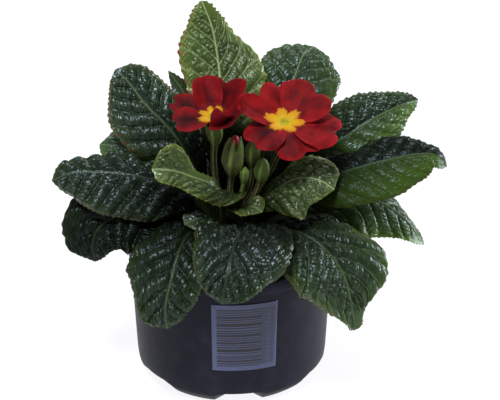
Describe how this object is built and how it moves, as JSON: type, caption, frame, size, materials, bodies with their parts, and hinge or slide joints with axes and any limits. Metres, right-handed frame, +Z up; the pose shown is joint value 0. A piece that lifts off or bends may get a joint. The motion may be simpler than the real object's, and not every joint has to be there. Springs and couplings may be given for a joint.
{
  "type": "potted primrose",
  "caption": "Flowering primrose plant with toothed, puckered leaves and red blooms with yellow eyes, growing in a plain round nursery pot.",
  "frame": {"origin": "middle of the pot's foot, on the surface the pot stands on", "axes": "+Z up along the pot's axis, -Y towards the side with the printed panel, +X to the right of that side"},
  "size_m": [0.201, 0.1456, 0.1837],
  "materials": {
    "pot_plastic": "thin moulded nursery pot plastic, anthracite, slight sheen",
    "soil_peat": "moist dark peat",
    "crown_skin": "pale green plant tissue",
    "panel_print": "pale grey-lilac print with dark stripes",
    "leaf_old": "dark green, puckered, waxy leaf",
    "leaf_young": "fresh green, puckered young leaf",
    "petal_red": "velvety deep red petal",
    "eye_yellow": "yellow bloom eye",
    "stalk_green": "green to red-brown hairy stalk"
  },
  "bodies": {
    "root": {"pot": "pot_plastic", "soil": "soil_peat", "crown": "crown_skin", "printed_panel": "panel_print", "leaf_tall_back": "leaf_young", "leaf_round_back": "leaf_old", "leaf_left_upper": "leaf_old", "leaf_spike_back": "leaf_old", "leaf_left_mid": "leaf_old", "leaf_left_wide": "leaf_old", "leaf_left_drop": "leaf_old", "leaf_front_left": "leaf_old", "leaf_front": "leaf_old", "leaf_front_right": "leaf_old", "leaf_right_low": "leaf_old", "leaf_right_wide": "leaf_old", "leaf_right_upper": "leaf_old", "leaf_lip": "leaf_young", "leaf_inner_right": "leaf_young", "leaf_small_centre": "leaf_young", "leaf_front_under": "leaf_old", "leaf_back_low": "leaf_old", "leaf_back_right": "leaf_old", "leaf_back_left": "leaf_old", "bloom_right_petals": "petal_red", "bloom_right_eye": "eye_yellow", "bloom_right_stalk": "stalk_green", "bloom_left_petals": "petal_red", "bloom_left_eye": "eye_yellow", "bloom_left_stalk": "stalk_green", "bud_large": "stalk_green", "bud_tall": "stalk_green", "bud_green": "stalk_green", "bud_small": "stalk_green", "leaf_back_fill_left": "leaf_old", "leaf_back_fill_right": "leaf_old", "leaf_back_side_left": "leaf_old", "leaf_back_side_right": "leaf_old"}
  },
  "joints": []
}
